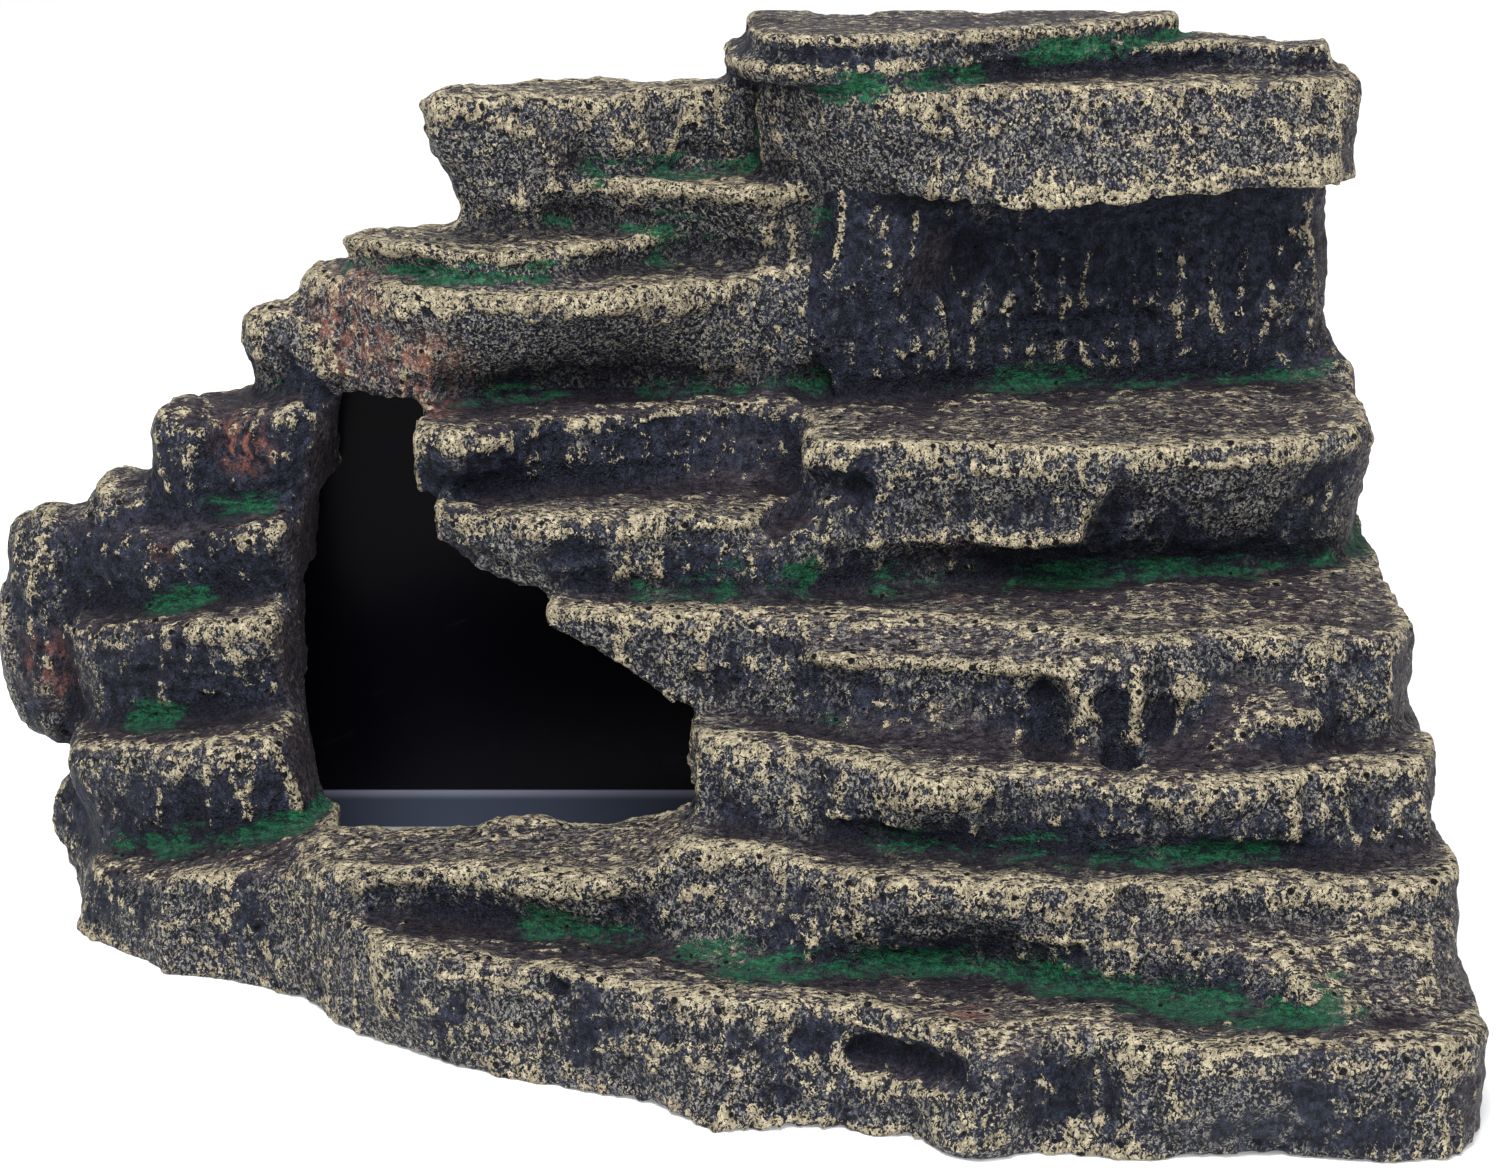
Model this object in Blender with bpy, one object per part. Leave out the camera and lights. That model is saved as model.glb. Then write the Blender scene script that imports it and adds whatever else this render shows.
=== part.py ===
"""Terraced rock cave ornament: stacked courses, a pillar, a bridge over the cave mouth and a back panel.

The model stands on the XY plane with its front towards -Y.  All tables are in millimetres, in a drawing
frame whose Y axis starts near the middle of the cave mouth.  An empty moves the drawing so that the origin
lies under the centre of the whole ornament.
A course is lofted along its length from upright sections.  A block is lofted upwards from plan outlines.
"""
import math

import bmesh
import bpy
import numpy as np
from mathutils import Vector

MM = 0.001
GAP = 0.3                 # clearance between two pieces that touch
HALF_GAP = GAP / 2
BACK_PLANE = 68.0         # where the rock ends and the panel begins
PANEL_BACK = 72.5
PANEL_FOOT = 1.0          # the panel stops just short of the ground
FRONT = -101.5            # the foremost point of the lowest lip
CENTRE_Y = (FRONT + PANEL_BACK) / 2
STATION_STEP = 9.0        # spacing of the sections along a course
TURN_STATIONS = 7         # sections round the front right corner
CORNER_RADIUS = 15.0
INNER_RADIUS = 6.0
WALL = 12.0               # how far a course runs in behind the foot of the one above
DROOP_INSET = 8.0         # how far behind its edge a drooping block meets its bed
LUG_RADIUS = 3.0          # round lugs that locate each piece on the one below
LUG_HEIGHT = 2.5
LUG_SIDES = 8

# Levels of the beds between the courses.
BED_1 = 25.0
BED_2 = 46.0
BED_3 = 63.5
BED_4 = 85.0
BED_5 = 103.0
BED_6 = 119.0
BED_7 = 147.0
BED_8 = 155.0
BED_9 = 167.0
LEDGE_TOP = 187.0
CAP_TOP = 191.0
TOP_1 = 197.0
TOP_2 = 203.0

# Outer and inner faces of the right-hand side at each course.
SIDE_BASE = 165.0
SIDE_SILL = 163.0
SIDE_2 = 161.0
SIDE_3 = 159.0
SIDE_SHELF = 155.5

# Beds of the pillar: the height at x = PILLAR_X, and the rise per millimetre towards +X.
PILLAR_X = -85.0
PILLAR_BEDS = [(0.0, 0.0), (30.0, 0.28), (52.0, 0.20), (76.0, 0.19), (94.5, 0.20), (118.6, 0.17)]
PILLAR_RIGHT = -78.0      # upright joint between the pillar and the front courses
PILLAR_LEFT = -145.0      # outer left face that the horn rock stands against

END = BACK_PLANE - HALF_GAP
CAP_JOINT = 17.0          # upright joint between the upper left ledge and the cap

# Plan curves (x, y) of the foot and the lip of each course.
BASE_FOOT = [(-78, -35), (-62, -50), (-38, -61), (-8, -76), (5, -85), (35, -86), (50, -92), (75, -97),
             (115, -97), (150, -99), (165, -97)]
BASE_LIP = [(-78, -32), (-62, -50), (-38, -62), (-16, -69), (15, -80), (35, -80), (56, -93), (83, -92),
            (106, -101), (131, -101), (165, -94)]
SILL_FOOT = [(-78, -30), (-43, -40), (-8, -50), (15, -64), (50, -60), (93, -76), (133, -86), (165, -80)]
SILL_LIP = [(-78, -29), (-63, -39), (-49, -37), (-38, -43), (-16, -50), (5, -49), (15, -51), (28, -60),
            (64, -68), (83, -70), (123, -68), (165, -67)]
FOOT_2 = [(2, -34), (15, -41), (45, -46), (65, -51), (91, -55), (125, -53), (165, -57)]
LIP_2 = [(2, -30), (15, -34), (38, -43), (48, -53), (71, -50), (102, -59), (118, -56), (144, -47),
         (165, -45)]
FOOT_3 = [(-30, -6), (3, -13), (15, -17), (38, -29), (68, -33), (89, -38), (121, -36), (147, -32), (165, -32)]
LIP_3 = [(-30, -5), (-9, -11), (15, -13), (39, -16), (66, -20), (98, -31), (116, -28), (147, -29),
         (165, -31)]
FOOT_4 = [(-55, 8), (-13, 2), (15, 2), (47, 6), (90, 12), (134, 24), (165, 22)]
LIP_4 = [(-55, 7), (-35, -3), (-9, 0), (15, 6), (30, 9)]
FOOT_5 = [(-60, 19), (-50, 18), (-27, 21), (15, 24), (37, 20)]
LIP_5 = [(-60, 17), (-56, 12), (-29, 21), (-7, 29), (15, 33), (30, 30)]
BRIDGE_FOOT = [(-60, 36), (-25, 48), (15, 45), (33, 46)]


def smooth(points, x):
    """Height of a smooth curve through the points at x, level beyond its ends."""
    xs = np.array([p[0] for p in points], dtype=float)
    ys = np.array([p[1] for p in points], dtype=float)
    x = min(max(x, xs[0]), xs[-1])
    slopes = np.gradient(ys, xs)
    i = min(max(int(np.searchsorted(xs, x)) - 1, 0), len(xs) - 2)
    width = xs[i + 1] - xs[i]
    t = (x - xs[i]) / width
    start = (2 * t ** 3 - 3 * t ** 2 + 1) * ys[i] + (t ** 3 - 2 * t ** 2 + t) * width * slopes[i]
    end = (3 * t ** 2 - 2 * t ** 3) * ys[i + 1] + (t ** 3 - t ** 2) * width * slopes[i + 1]
    return float(start + end)


def level(value, x):
    """A height given as one number or as points (x, z) joined by straight lines."""
    if isinstance(value, (int, float)):
        return float(value)
    return float(np.interp(x, [p[0] for p in value], [p[1] for p in value]))


def resample(points, count):
    """The same open line with count points, evenly spaced."""
    points = np.array(points, dtype=float)
    run = np.concatenate([[0.0], np.cumsum(np.linalg.norm(np.diff(points, axis=0), axis=1))])
    stops = np.linspace(0.0, run[-1], count)
    return np.column_stack([np.interp(stops, run, points[:, k]) for k in range(2)])


def turned_edge(edge, x_start, x_side, y_end):
    """An outer edge that leaves its front at x_start, rounds the corner and runs back to y_end."""
    x_arc = x_side - CORNER_RADIUS
    y_arc = smooth(edge, x_arc) + CORNER_RADIUS
    front = [(x, smooth(edge, x)) for x in np.linspace(x_start, x_arc, 6)]
    arc = [(x_arc + CORNER_RADIUS * math.cos(a), y_arc + CORNER_RADIUS * math.sin(a))
           for a in np.radians(np.linspace(-90, 0, 9))]
    return front + arc[1:] + [(x_side, y_end)]


def front_stations(foot, lip, back, x_from, x_to):
    """Foot, lip and back points of the sections across the front."""
    count = max(2, int(round((x_to - x_from) / STATION_STEP)) + 1)
    return [((x, smooth(foot, x)), (x, smooth(lip, x)), (x, smooth(back, x) + WALL))
            for x in np.linspace(x_from, x_to, count)]


def side_stations(foot, lip, back, x_side, x_inner):
    """Sections round the right-hand corner and along the side to the back plane."""
    x_start = x_inner - INNER_RADIUS
    y_inner = smooth(back, x_inner) + WALL
    y_end = y_inner + INNER_RADIUS + CORNER_RADIUS
    feet = resample(turned_edge(foot, x_start, x_side - 1.0, y_end), TURN_STATIONS + 1)
    lips = resample(turned_edge(lip, x_start, x_side, y_end), TURN_STATIONS + 1)
    turn = np.linspace(-math.pi / 2, 0, TURN_STATIONS + 1)
    backs = [(x_start + INNER_RADIUS * math.cos(a), y_inner + INNER_RADIUS * (1 + math.sin(a)))
             for a in turn]
    stations = list(zip(feet, lips, backs))[1:]
    for y in np.linspace(y_end, BACK_PLANE - HALF_GAP, 4)[1:]:
        stations.append(((x_side - 1.0, y), (x_side, y), (x_inner, y)))
    return stations


def section(foot, lip, back, low, high, crest, ledge):
    """One upright section: up the face, over the lip, back along the bed and down the inner side."""
    foot, lip, back = (np.array(p, dtype=float) for p in (foot, lip, back))
    inward = (back - lip) / np.linalg.norm(back - lip)
    depth = float(np.linalg.norm(back - lip))
    rise = high - low
    room = depth - WALL
    tread = min(10.0, 0.7 * max(room, 2.0))
    crest *= min(max((room - 5.0) / 7.0, 0.0), 1.0)
    out = np.zeros(2) - inward * ledge
    profile = [
        (foot, low),
        (foot + 0.3 * (lip - foot) + 0.6 * inward, low + 0.22 * rise),
        (foot + 0.6 * (lip - foot) + out, low + 0.45 * rise),
        (foot + 0.7 * (lip - foot) + 0.7 * out, low + 0.56 * rise),
        (lip + 0.3 * inward, low + 0.72 * rise),
        (lip, low + 0.88 * rise),
        (lip + (0.8 + 0.8 * crest) * inward, high + 0.6 * crest - 0.3),
        (lip + (1.6 + 2.4 * crest) * inward, high + crest - 0.1),
        (lip + tread * inward, high),
        (back, high),
        (back, low),
    ]
    return [Vector((p[0], p[1], z)) * MM for p, z in profile]


def mesh_object(name, vertices, faces, collection):
    """A closed mesh with its faces pointing out, as an object of the collection."""
    build = bmesh.new()
    points = [build.verts.new(v) for v in vertices]
    for face in faces:
        build.faces.new([points[i] for i in face])
    bmesh.ops.recalc_face_normals(build, faces=build.faces[:])
    bmesh.ops.triangulate(build, faces=[f for f in build.faces if len(f.verts) > 4])
    mesh = bpy.data.meshes.new(name)
    build.to_mesh(mesh)
    build.free()
    item = bpy.data.objects.new(name, mesh)
    collection.objects.link(item)
    return item


def loft(name, rings, collection):
    """Join rings that have the same number of points, and close both ends."""
    size = len(rings[0])
    vertices = [v for ring in rings for v in ring]
    faces = [[k * size + i, k * size + (i + 1) % size, (k + 1) * size + (i + 1) % size, (k + 1) * size + i]
             for k in range(len(rings) - 1) for i in range(size)]
    faces.append(list(range(size)))
    faces.append([(len(rings) - 1) * size + i for i in range(size)])
    return mesh_object(name, vertices, faces, collection)


def course(name, collection, foot, lip, back, low, high, left, right=None, side=None, crest=1.6, ledges=()):
    """A course of rock from x = left to an upright joint at right, or round the side to the back."""
    x_end = right if side is None else side[1] - INNER_RADIUS
    stations = front_stations(foot, lip, back, left, x_end)
    front_count = len(stations)
    if side is not None:
        stations += side_stations(foot, lip, back, *side)
    rings = []
    for index, (f, l, b) in enumerate(stations):
        fade = 1.0 if index < front_count else max(0.0, 1.0 - (index - front_count + 1) / 3)
        ledge = sum(amount * math.exp(-((l[0] - x) / width) ** 2) for x, width, amount in ledges) * fade
        bottom = level(low, f[0]) + (HALF_GAP if low != 0.0 else 0.0)
        top = level(high, l[0]) - HALF_GAP
        rings.append(section(f, l, b, bottom, top, crest * fade, ledge))
    return loft(name, rings, collection)


def open_curve(points, count):
    """A smooth open line through plan points, with count points."""
    points = np.array(points, dtype=float)
    padded = np.vstack([2 * points[0] - points[1], points, 2 * points[-1] - points[-2]])
    dense = []
    for i in range(len(points) - 1):
        p0, p1, p2, p3 = padded[i:i + 4]
        for t in np.linspace(0, 1, 8, endpoint=False):
            dense.append(0.5 * (2 * p1 + (p2 - p0) * t + (2 * p0 - 5 * p1 + 4 * p2 - p3) * t ** 2
                                + (3 * p1 - p0 - 3 * p2 + p3) * t ** 3))
    dense.append(points[-1])
    return resample(dense, count)


def bed(plane, x):
    """Height of a pillar bed, or of a level bed, at x."""
    height, slope = plane if isinstance(plane, tuple) else (plane, 0.0)
    return height + slope * (x - PILLAR_X)


def block(name, collection, foot, lip, rest, low, high, count=16, round_over=3.0, droop=None):
    """A block whose worn front runs from the foot line to the lip line; rest closes its outline.

    droop = (x, half width, depth) hangs the middle of the lower front edge below the bed.
    """
    feet = open_curve(foot, count)
    lips = open_curve(lip, count)
    rest = np.array(rest, dtype=float)
    centre = np.vstack([lips, rest]).mean(axis=0)
    inward = centre - lips
    inward /= np.linalg.norm(inward, axis=1)[:, None]
    shares = [(0.0, 0.0, 0.0), (0.3, 0.25, 0.4), (0.7, 0.6, 0.0), (1.0, 0.86, 0.0), (1.0, 1.0, round_over)]
    if droop:
        shares.insert(0, (0.0, 0.0, DROOP_INSET))
    bottom_gap = HALF_GAP if low != (0.0, 0.0) else 0.0
    rings = []
    for number, (mix, height, inset) in enumerate(shares):
        line = feet + mix * (lips - feet) + inset * inward
        ring = []
        for index, (x, y) in enumerate(np.vstack([line, rest])):
            floor = bed(low, x) + bottom_gap
            roof = bed(high, x) - HALF_GAP
            z = floor + height * (roof - floor)
            if droop and number in (1, 2) and index < count:
                z -= droop[2] * math.exp(-((x - droop[0]) / droop[1]) ** 2)
            ring.append(Vector((x, y, z)) * MM)
        rings.append(ring)
    return loft(name, rings, collection)


def make_courses(group):
    """The stepped front, from the ground to the underside of the cap."""
    course("base_course", group, BASE_FOOT, BASE_LIP, SILL_FOOT, 0.0, BED_1,
           left=PILLAR_RIGHT + HALF_GAP, side=(SIDE_BASE, SIDE_SILL - WALL),
           ledges=[(52, 9, 3.0), (100, 14, 2.0)])
    sill_top = [(-78, 33), (-60, 35), (-45, 37), (-25, 38), (-8, 40), (0, BED_2), (1, BED_2)]
    sill_back = [(-78, -20), (-58, -25), (-33, -29), (-13, -33), (0, -30), (8, -36)] + FOOT_2[2:]
    course("sill_course", group, SILL_FOOT, SILL_LIP, sill_back, BED_1, sill_top,
           left=PILLAR_RIGHT + HALF_GAP, side=(SIDE_SILL, SIDE_2 - WALL), ledges=[(110, 16, 2.5)])
    course("step_course_2", group, FOOT_2, LIP_2, FOOT_3, BED_2, BED_3,
           left=3.0, side=(SIDE_2, SIDE_3 - WALL))
    course("step_course_3", group, FOOT_3, LIP_3, FOOT_4, [(-29, 81), (-18, 74), (-7, 68), (2, BED_3)], BED_4,
           left=-29.0, side=(SIDE_3, SIDE_SHELF - WALL), ledges=[(88, 16, 6.0)])
    joint = 26.0
    course("step_course_4", group, FOOT_4, LIP_4, FOOT_5, [(-54, 97), (-49, 90), (-40, 86), (-29, BED_4)],
           BED_5, left=-54.0, right=joint - HALF_GAP)
    course("step_course_5", group, FOOT_5, LIP_5, BRIDGE_FOOT, BED_5, BED_6,
           left=-59.0, right=joint - HALF_GAP)
    block("shelf_block", group,
          [(joint + HALF_GAP, 4), (47, 6), (90, 13), (134, 21), (149, 27), (154, 40), (154, END)],
          [(joint + HALF_GAP, 8), (48, 6), (89, 2), (112, 3), (134, 9), (150, 18), (155.5, 34), (155.5, END)],
          [(joint + HALF_GAP, END)], BED_4, BED_6, count=30)


def make_upper_rocks(group):
    """The bridge over the cave mouth, the slabs on it, the neck and the cap."""
    joint = 34.0
    near = joint - HALF_GAP
    far = joint + HALF_GAP
    block("bridge_slab", group,
          [(-80, 66), (-83, 56), (-79, 46), (-70, 40), (-60, 36), (-25, 47), (15, 45), (near, 47)],
          [(-80, 66), (-87, 58), (-87, 50), (-78, 41), (-61, 31), (-40, 27), (-14, 30), (15, 42), (near, 51)],
          [(near, END), (-76, END)], BED_6, BED_7, count=28)
    block("thin_slab", group,
          [(-58, 65), (-74, 56), (-72, 49), (-60, 43), (-40, 38), (-14, 50), (4, 58), (near, 62)],
          [(-58, 65), (-76, 54), (-78, 46), (-64, 40), (-40, 31), (-14, 45), (4, 54), (near, 59)],
          [(near, END), (-50, END)], BED_7, BED_8, count=22)
    block("upper_slab", group,
          [(-45, 66), (-45, 60), (-28, 57), (-8, 54), (14, 48), (near, 54)],
          [(-45, 66), (-44, 58), (-28, 52), (-8, 49), (14, 42), (near, 50)],
          [(near, END), (-42, END)], BED_8, BED_9, count=18)
    block("upper_left_ledge", group,
          [(-40, 66), (-47, 60), (-43, 55), (-28, 58), (-13, 55), (0, 59), (CAP_JOINT - HALF_GAP, 60)],
          [(-44, 66), (-55, 56), (-56, 47), (-50, 46), (-36, 52), (-20, 48), (-8, 54), (4, 58),
           (CAP_JOINT - HALF_GAP, 58)],
          [(CAP_JOINT - HALF_GAP, END), (-36, END)], BED_9, LEDGE_TOP, count=24)
    block("neck_wall", group,
          [(far, 40), (49, 42), (73, 50), (119, 53), (138, 56), (149, 60), (152, END)],
          [(far, 42), (49, 42), (73, 47), (119, 50), (138, 53), (146, 58), (148, END)],
          [(far, END)], BED_6, BED_9, count=20, round_over=0.6)
    block("cap_block", group,
          [(CAP_JOINT + HALF_GAP, 56), (33, 44), (50, 37), (62, 33), (76, 30), (92, 30), (104, 34), (126, 36),
           (143, 41), (151, 51), (152, END)],
          [(CAP_JOINT + HALF_GAP, 50), (30, 36), (48, 29), (60, 33), (78, 36), (94, 37), (117, 43), (139, 45),
           (151.5, 52), (153.5, END)],
          [(CAP_JOINT + HALF_GAP, END)], BED_9, CAP_TOP, count=34, round_over=2.5, droop=(78, 22, 4.5))
    block("top_slab_lower", group,
          [(10, 66), (11, 48), (17, 37), (32, 31), (48, 36), (70, 46), (94, 52), (118, 59), (136, 58), (146, 60)],
          [(9, 66), (9, 46), (16, 33), (32, 28), (48, 33), (70, 43), (94, 50), (118, 58), (136, 55), (147, 58)],
          [(147, END), (10, END)], CAP_TOP, TOP_1, count=28, round_over=3.0)
    block("top_slab_upper", group,
          [(15, 66), (16, 46), (22, 38), (38, 36), (59, 42), (81, 48), (96, 55), (110, 63)],
          [(14, 66), (14, 44), (20, 35), (37, 32), (59, 38), (81, 44), (98, 52), (112, 62)],
          [(112, END), (15, END)], TOP_1, TOP_2, count=24, round_over=5.0)


def make_pillar(group):
    """The pillar at the left of the cave mouth."""
    right = PILLAR_RIGHT - HALF_GAP
    block("pillar_base", group,
          [(-143, END), (-143, 40), (-141, 13), (-134, 3), (-118, -8), (-101, -16), (-86, -25), (right, -34)],
          [(-142, END), (-142, 40), (-138, 16), (-131, 5), (-113, -7), (-101, -13), (-88, -20), (right, -30)],
          [(right, 14), (-92, 30), (-128, 34), (-128, END)], PILLAR_BEDS[0], PILLAR_BEDS[1],
          count=22, round_over=2.0)
    left = PILLAR_LEFT + GAP
    block("pillar_block_1", group,
          [(left + 2, END), (left + 2, 46), (-136, 22), (-122, 12), (-103, 5), (-88, 3), (-83, 8), (-83, 20)],
          [(left, END), (left, 46), (left + 1, 24), (-134, 18), (-119, 11), (-105, 7), (-90, 8), (-87, 22)],
          [(-88, 34), (-128, 40), (-128, END)], PILLAR_BEDS[1], PILLAR_BEDS[2], count=22)
    block("pillar_block_2", group,
          [(left + 2, END), (left + 2, 50), (-138, 36), (-122, 28), (-104, 22), (-91, 22), (-88, 34)],
          [(left, END), (left + 1, 50), (-142, 36), (-122, 26), (-110, 22), (-94, 20), (-89, 32)],
          [(-89, 48), (-128, 50), (-128, END)], PILLAR_BEDS[2], PILLAR_BEDS[3], count=20)
    block("pillar_block_3", group,
          [(-140, END), (-141, 56), (-136, 45), (-122, 38), (-103, 35), (-91, 33), (-88, 44), (-87, 60)],
          [(-139, END), (-140, 54), (-138, 43), (-123, 36), (-110, 32), (-93, 30), (-87, 42), (-86, 60)],
          [(-90, END)], PILLAR_BEDS[3], PILLAR_BEDS[4], count=20)
    block("pillar_block_4", group,
          [(-114, END), (-119, 60), (-120, 52), (-113, 47), (-101, 44), (-89, 42), (-85, 50), (-83, 60)],
          [(-114, END), (-122, 60), (-122, 52), (-111, 46), (-101, 40), (-88, 38), (-80, 46), (-79, 58)],
          [(-83, END)], PILLAR_BEDS[4], PILLAR_BEDS[5], count=20)


def horn_rock(group):
    """The upright outcrop that leans on the pillar's outer left face."""
    levels = [(29, -151, -147, 52, 62), (34, -160, -146, 48, 65), (42, -163.5, PILLAR_LEFT, 46, 66),
              (60, -164.5, PILLAR_LEFT, 45, 67), (74, -161, PILLAR_LEFT, 46, 66), (83, -160, -147, 49, 64),
              (86, -158, -149, 52, 62)]
    rings = []
    for z, x_left, x_right, y_front, y_back in levels:
        middle = (y_front + y_back) / 2
        half = (y_back - y_front) / 2
        outline = [(x_right, y_back - 1), (x_right, y_front + 1)]
        for a in np.radians(np.linspace(-65, -295, 7)):
            outline.append((x_right + (x_right - x_left) * (math.cos(a) - 0.42) / 1.42,
                            middle + half * math.sin(a)))
        rings.append([Vector((x, y, z)) * MM for x, y in outline])
    return loft("horn_rock", rings, group)


def small_rock(group, name, centre, size, floor, roof, skew):
    """A small worn boulder with a flat underside on a bed and a rounded top."""
    rings = []
    for share, width in [(0.0, 0.82), (0.25, 1.0), (0.6, 0.98), (0.85, 0.8), (1.0, 0.5)]:
        ring = []
        for a in np.linspace(0, 2 * math.pi, 12, endpoint=False):
            wobble = 1 + 0.08 * math.sin(3 * a + skew) + 0.05 * math.cos(2 * a - skew)
            x = centre[0] + size[0] * width * wobble * math.cos(a)
            y = centre[1] + size[1] * width * wobble * math.sin(a)
            low = bed(floor, x) + HALF_GAP
            ring.append(Vector((x, y, low + share * (roof - low))) * MM)
        rings.append(ring)
    return loft(name, rings, group)


def make_back_panel(group):
    """The flat panel that closes the back, cut to the outline of the rock."""
    outline = [(-141, PANEL_FOOT), (-142, 44), (-139, 70), (-136, 82), (-112, 90), (-111, 110), (-82, 116),
               (-78, 122), (-74, 142), (-48, 147), (-45, 153), (-38, 158), (-36, 170), (-36, 184), (12, 185),
               (17, 194), (20, 200), (108, 200), (114, 194), (146, 192), (148, 170), (145, 163), (145, 122),
               (152, 114), (154, 88), (156, 64), (158, 46), (160, 24), (161, PANEL_FOOT)]
    data = bpy.data.curves.new("back_panel", "CURVE")
    data.dimensions = "2D"
    data.fill_mode = "BOTH"
    data.extrude = (PANEL_BACK - BACK_PLANE - HALF_GAP) / 2 * MM
    spline = data.splines.new("POLY")
    spline.points.add(len(outline) - 1)
    for point, (x, z) in zip(spline.points, outline):
        point.co = (x * MM, z * MM, 0.0, 1.0)
    spline.use_cyclic_u = True
    panel = bpy.data.objects.new("back_panel", data)
    panel.rotation_euler = (math.pi / 2, 0.0, 0.0)
    panel.location = (0.0, (PANEL_BACK + BACK_PLANE + HALF_GAP) / 2 * MM, 0.0)
    group.objects.link(panel)
    return panel


def cylinder(name, centre, radius, low, high, cutters):
    """A short upright prism used to add a lug or to cut its socket."""
    build = bmesh.new()
    bmesh.ops.create_cone(build, cap_ends=True, segments=LUG_SIDES, radius1=radius * MM, radius2=radius * MM,
                          depth=(high - low) * MM)
    mesh = bpy.data.meshes.new(name)
    build.to_mesh(mesh)
    build.free()
    item = bpy.data.objects.new(name, mesh)
    item.location = Vector((centre[0], centre[1], (low + high) / 2)) * MM
    item.hide_render = True
    item.display_type = "WIRE"
    cutters.objects.link(item)
    return item


def combine(item, tool, operation):
    """Join a tool to a piece, or cut it out, with a Boolean modifier."""
    modifier = item.modifiers.new(tool.name, "BOOLEAN")
    modifier.operation = operation
    modifier.solver = "EXACT"
    modifier.object = tool


def add_lugs(pieces, cutters):
    """Raise round lugs on the lower piece of each bed and cut their sockets in the upper piece."""
    joints = [
        ("base_course", "sill_course", BED_1, [(-30, -37), (60, -56), (130, -77)]),
        ("sill_course", "step_course_2", BED_2, [(20, -36), (80, -48), (135, -48)]),
        ("step_course_2", "step_course_3", BED_3, [(20, -13), (75, -27), (135, -27)]),
        ("step_course_3", "step_course_4", BED_4, [(-18, 9), (12, 8)]),
        ("step_course_3", "shelf_block", BED_4, [(45, 12), (100, 20), (149, 50)]),
        ("step_course_4", "step_course_5", BED_5, [(-35, 27), (5, 31)]),
        ("step_course_5", "bridge_slab", BED_6, [(-30, 53), (10, 52)]),
        ("bridge_slab", "thin_slab", BED_7, [(-50, 54), (-20, 58)]),
        ("thin_slab", "upper_slab", BED_8, [(-30, 62), (22, 61)]),
        ("upper_slab", "upper_left_ledge", BED_9, [(-30, 63), (-10, 61)]),
        ("shelf_block", "neck_wall", BED_6, [(55, 58), (130, 62)]),
        ("neck_wall", "cap_block", BED_9, [(60, 60), (125, 62)]),
        ("cap_block", "top_slab_lower", CAP_TOP, [(28, 48), (100, 60)]),
        ("top_slab_lower", "top_slab_upper", TOP_1, [(50, 52), (88, 60)]),
        ("pillar_base", "pillar_block_1", PILLAR_BEDS[1], [(-110, 20)]),
        ("pillar_block_1", "pillar_block_2", PILLAR_BEDS[2], [(-110, 32)]),
        ("pillar_block_2", "pillar_block_3", PILLAR_BEDS[3], [(-110, 44)]),
        ("pillar_block_3", "pillar_block_4", PILLAR_BEDS[4], [(-103, 56)]),
    ]
    for lower, upper, plane, places in joints:
        for number, (x, y) in enumerate(places):
            level_z = bed(plane, x)
            label = "{}_{}".format(upper, number)
            lug = cylinder("lug_" + label, (x, y), LUG_RADIUS, level_z - 3.0, level_z + LUG_HEIGHT, cutters)
            socket = cylinder("socket_" + label, (x, y), LUG_RADIUS + GAP, level_z - 3.0,
                              level_z + LUG_HEIGHT + GAP, cutters)
            combine(pieces[lower], lug, "UNION")
            combine(pieces[upper], socket, "DIFFERENCE")


def paint(item, colour, roughness):
    """Give a part its own Principled material."""
    material = bpy.data.materials.new(item.name)
    material.use_nodes = True
    shader = material.node_tree.nodes["Principled BSDF"]
    shader.inputs["Base Color"].default_value = (*colour, 1.0)
    shader.inputs["Roughness"].default_value = roughness
    shader.inputs["Metallic"].default_value = 0.0
    item.data.materials.append(material)


def main():
    for item in list(bpy.data.objects):
        bpy.data.objects.remove(item, do_unlink=True)
    group = bpy.data.collections.new("cave_ornament")
    cutters = bpy.data.collections.new("cutters")
    bpy.context.scene.collection.children.link(group)
    bpy.context.scene.collection.children.link(cutters)
    make_courses(group)
    make_upper_rocks(group)
    make_pillar(group)
    horn_rock(group)
    small_rock(group, "pillar_boulder", (-95, 57), (6.0, 7.5), PILLAR_BEDS[5], 136.0, 0.4)
    small_rock(group, "slope_rock", (-131, 56), (7.5, 8.5), PILLAR_BEDS[4], 97.0, 1.7)
    make_back_panel(group)
    add_lugs({item.name: item for item in group.objects}, cutters)
    drawing = bpy.data.objects.new("drawing_frame", None)
    drawing.location = (0.0, -CENTRE_Y * MM, 0.0)
    group.objects.link(drawing)
    rock = (0.11, 0.085, 0.07)
    for item in list(group.objects) + list(cutters.objects):
        if item is not drawing:
            item.parent = drawing
    for item in group.objects:
        if item.name == "back_panel":
            paint(item, (0.006, 0.006, 0.008), 0.12)
        elif item is not drawing:
            paint(item, rock, 0.85)


main()
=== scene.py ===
"""Looks of the terraced rock cave ornament: one worn, painted skin of stone, cut into its separate pieces.

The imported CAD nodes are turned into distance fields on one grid.  Their union is rounded, carved with noise
and with named features, and cut back into pieces along the CAD joints.  All lengths in the tables and in the
fields are millimetres in the row frame; only finished meshes are in metres.
"""
import math

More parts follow.
